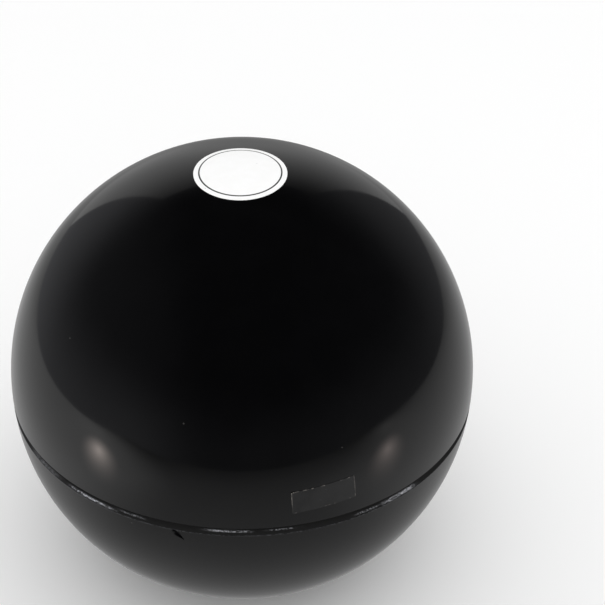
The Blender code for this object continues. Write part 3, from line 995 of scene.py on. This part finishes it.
def table():
    """The lit table as the ball mirrors it: dim in front, and two soft pools of light on each side."""
    made = Finish("lit_table")
    x, y = made.node("SeparateXYZ", {0: made.place}).outputs[:2]
    front = made.remap(y, -0.33, -0.08, 0.15, 0.36)
    back = made.remap(y, 0.1, 0.25, 1, 0.78)
    level = made.math("MULTIPLY", front, back)
    left = made.math("MULTIPLY", made.remap(x, -0.04, -0.11), made.remap(y, -0.4, -0.1, 0, 0.36))
    left = made.math("MULTIPLY", left, made.remap(y, -0.14, 0.3, 1, 0.2, "LINEAR"))
    slanted = made.math("SUBTRACT", x, made.math("MULTIPLY", y, 1.2))
    left = made.math("MULTIPLY", left, made.remap(slanted, 0.16, -0.02))
    right = made.math("MULTIPLY", made.remap(x, 0.04, 0.1), made.remap(y, -0.2, -0.06, 0, 0.18))
    right = made.math("MULTIPLY", right, made.remap(x, 0.1, 0.5, 1, 0.2, "LINEAR"))
    right = made.math("MULTIPLY", right, made.remap(y, 0, 0.3, 1, 0.5, "LINEAR"))
    level = made.math("ADD", level, made.math("ADD", left, right))
    level = made.math("MULTIPLY", level, made.remap(x, 0.15, 0.5, 1, 0.78, "LINEAR"))
    glow = made.node("Emission", {"Color": rgb(1, 1, 1), "Strength": level})
    # Side, place, turn, reach, tint and peak of each
    pools = (
        (-1, (0.17, -0.104), 0.42, (0.09, 0.033), (1, 0.86, 0.79), 4.4),
        (-1, (0.29, -0.16), 0.42, (0.28, 0.13), (1, 0.98, 0.96), 0.3),
        (1, (0.172, -0.1), 0.36, (0.095, 0.033), (1, 0.83, 0.77), 1.9),
        (1, (0.36, -0.185), 0.45, (0.3, 0.12), (1, 0.98, 0.96), 0.3),
    )
    for one in pools:
        glow = made.node("AddShader", {0: glow.outputs[0], 1: pool(made, *one).outputs[0]})
    one_sided(made, glow.outputs[0])
    mirrored(plane("table", TABLE_X, TABLE_Y, made.material))


def sweep():
    """Paper that rises behind the table. It fades upwards, sooner on the right, and its foot is shaded."""
    made = Finish("lit_sweep")
    x, _, height = made.node("SeparateXYZ", {0: made.place}).outputs
    right = made.math("MAXIMUM", x, 0)
    faded = made.math("ADD", height, made.math("MULTIPLY", right, 0.42))
    level = made.math("MULTIPLY", made.remap(faded, 0.25, 0.84), made.remap(x, -0.3, 0.3, 0.46, 0.38))
    level = made.math("SUBTRACT", made.remap(x, -0.3, 0.3, 0.51, 0.43), level)
    middle = made.remap(made.math("ABSOLUTE", x), 0.2, 0)
    shade = made.math("MULTIPLY", made.remap(height, 0, 0.2, 0.36, -0.1), middle)
    level = made.math("MULTIPLY", level, made.math("SUBTRACT", 1, shade))
    glow = made.node("Emission", {"Color": rgb(1, 1, 1), "Strength": level})
    made.feed(made.tree.nodes["Material Output"].inputs["Surface"], glow.outputs[0])
    obj = plane("sweep", SWEEP_X, (0, SWEEP_HEIGHT), made.material)
    obj.data.transform(Matrix.Translation((0, TABLE_Y[1], 0)) @ Matrix.Rotation(pi / 2, 4, "X"))
    mirrored(obj)


def surroundings():
    """A pale room all round, except for the gloss, which mirrors a dim one that is lighter on the left."""
    world = bpy.data.worlds.new("room")
    bpy.context.scene.world = world
    world.use_nodes = True
    made = Nodes(world.node_tree)
    direction = made.node("TexCoord", {}).outputs["Generated"]
    x, y, z = made.node("SeparateXYZ", {0: direction}).outputs
    left = made.math("MULTIPLY", made.remap(x, -0.25, -0.9, 0.085, 0.3), made.remap(y, 0.3, 0.8, 1, 0.7))
    level = made.math("ADD", left, made.remap(x, 0.3, 0.9, 0, 0.04))
    level = made.math("MULTIPLY", level, made.remap(z, -0.15, 0.5, 1, 0.3))
    back = made.math("MULTIPLY", made.remap(y, 0.25, 0.8), made.remap(x, -0.6, 0.6, 0.17, 0.09))
    back = made.math("MULTIPLY", back, made.remap(z, 0.35, 0.8, 1, 0))
    back = made.math("MULTIPLY", back, made.remap(z, -0.05, 0.35, 0.5, 1))
    level = made.math("ADD", level, back)
    ray = made.node("LightPath", {}).outputs
    reflected = made.math("GREATER_THAN", ray["Glossy Depth"], 0.5)
    glossy = made.math("MULTIPLY", reflected, made.math("SUBTRACT", 1, ray["Is Diffuse Ray"]))
    dim = made.mix(level, rgb(0, 0, 0), rgb(0.98, 0.985, 1.03))
    colour = made.mix(glossy, rgb(PALE, PALE, PALE), dim)
    background = made.tree.nodes["Background"]
    made.feed(background.inputs["Color"], colour)


def main():
    camera()
    bpy.context.scene.view_settings.view_transform = "Standard"
    upper_shell(black_gloss("shell_black_upper"))
    # The lower shell's finish has painted highlights on its rim
    lower_shell(black_gloss("shell_black_lower", painted_glint=True))
    crown_print(white_ink())
    label(label_film())
    bezel(moulded("bezel_satin", (0.006, 0.006, 0.006), (0.01, 0.01, 0.01), 0.25, 0.3 * MM))
    lens(lens_acrylic())
    dye(blue_dye("blue_dye"))
    die(die_plastic())
    rubber = moulded("grey_rubber", (0.035, 0.035, 0.036), (0.06, 0.06, 0.06), 0.75, 0.15 * MM)
    frosted = moulded("frosted_plastic", (0.5, 0.55, 0.6), (0.6, 0.64, 0.68), 0.38, 0.4 * MM)
    dark = moulded("dark_plastic", (0.05, 0.06, 0.085), (0.07, 0.08, 0.11), 0.5, 0.3 * MM)
    gasket(rubber)
    fill_plug(rubber)
    reservoir(frosted)
    funnel(dark)
    die_filling(blue_dye("die_liquid"))
    floor()
    table()
    sweep()
    surroundings()
    softbox("top_softbox", (0.2, -0.2, 1.6), 1.6, 4.0)
    softbox("front_fill", (0.0, -1.0, 0.6), 0.8, 1.0)


main()
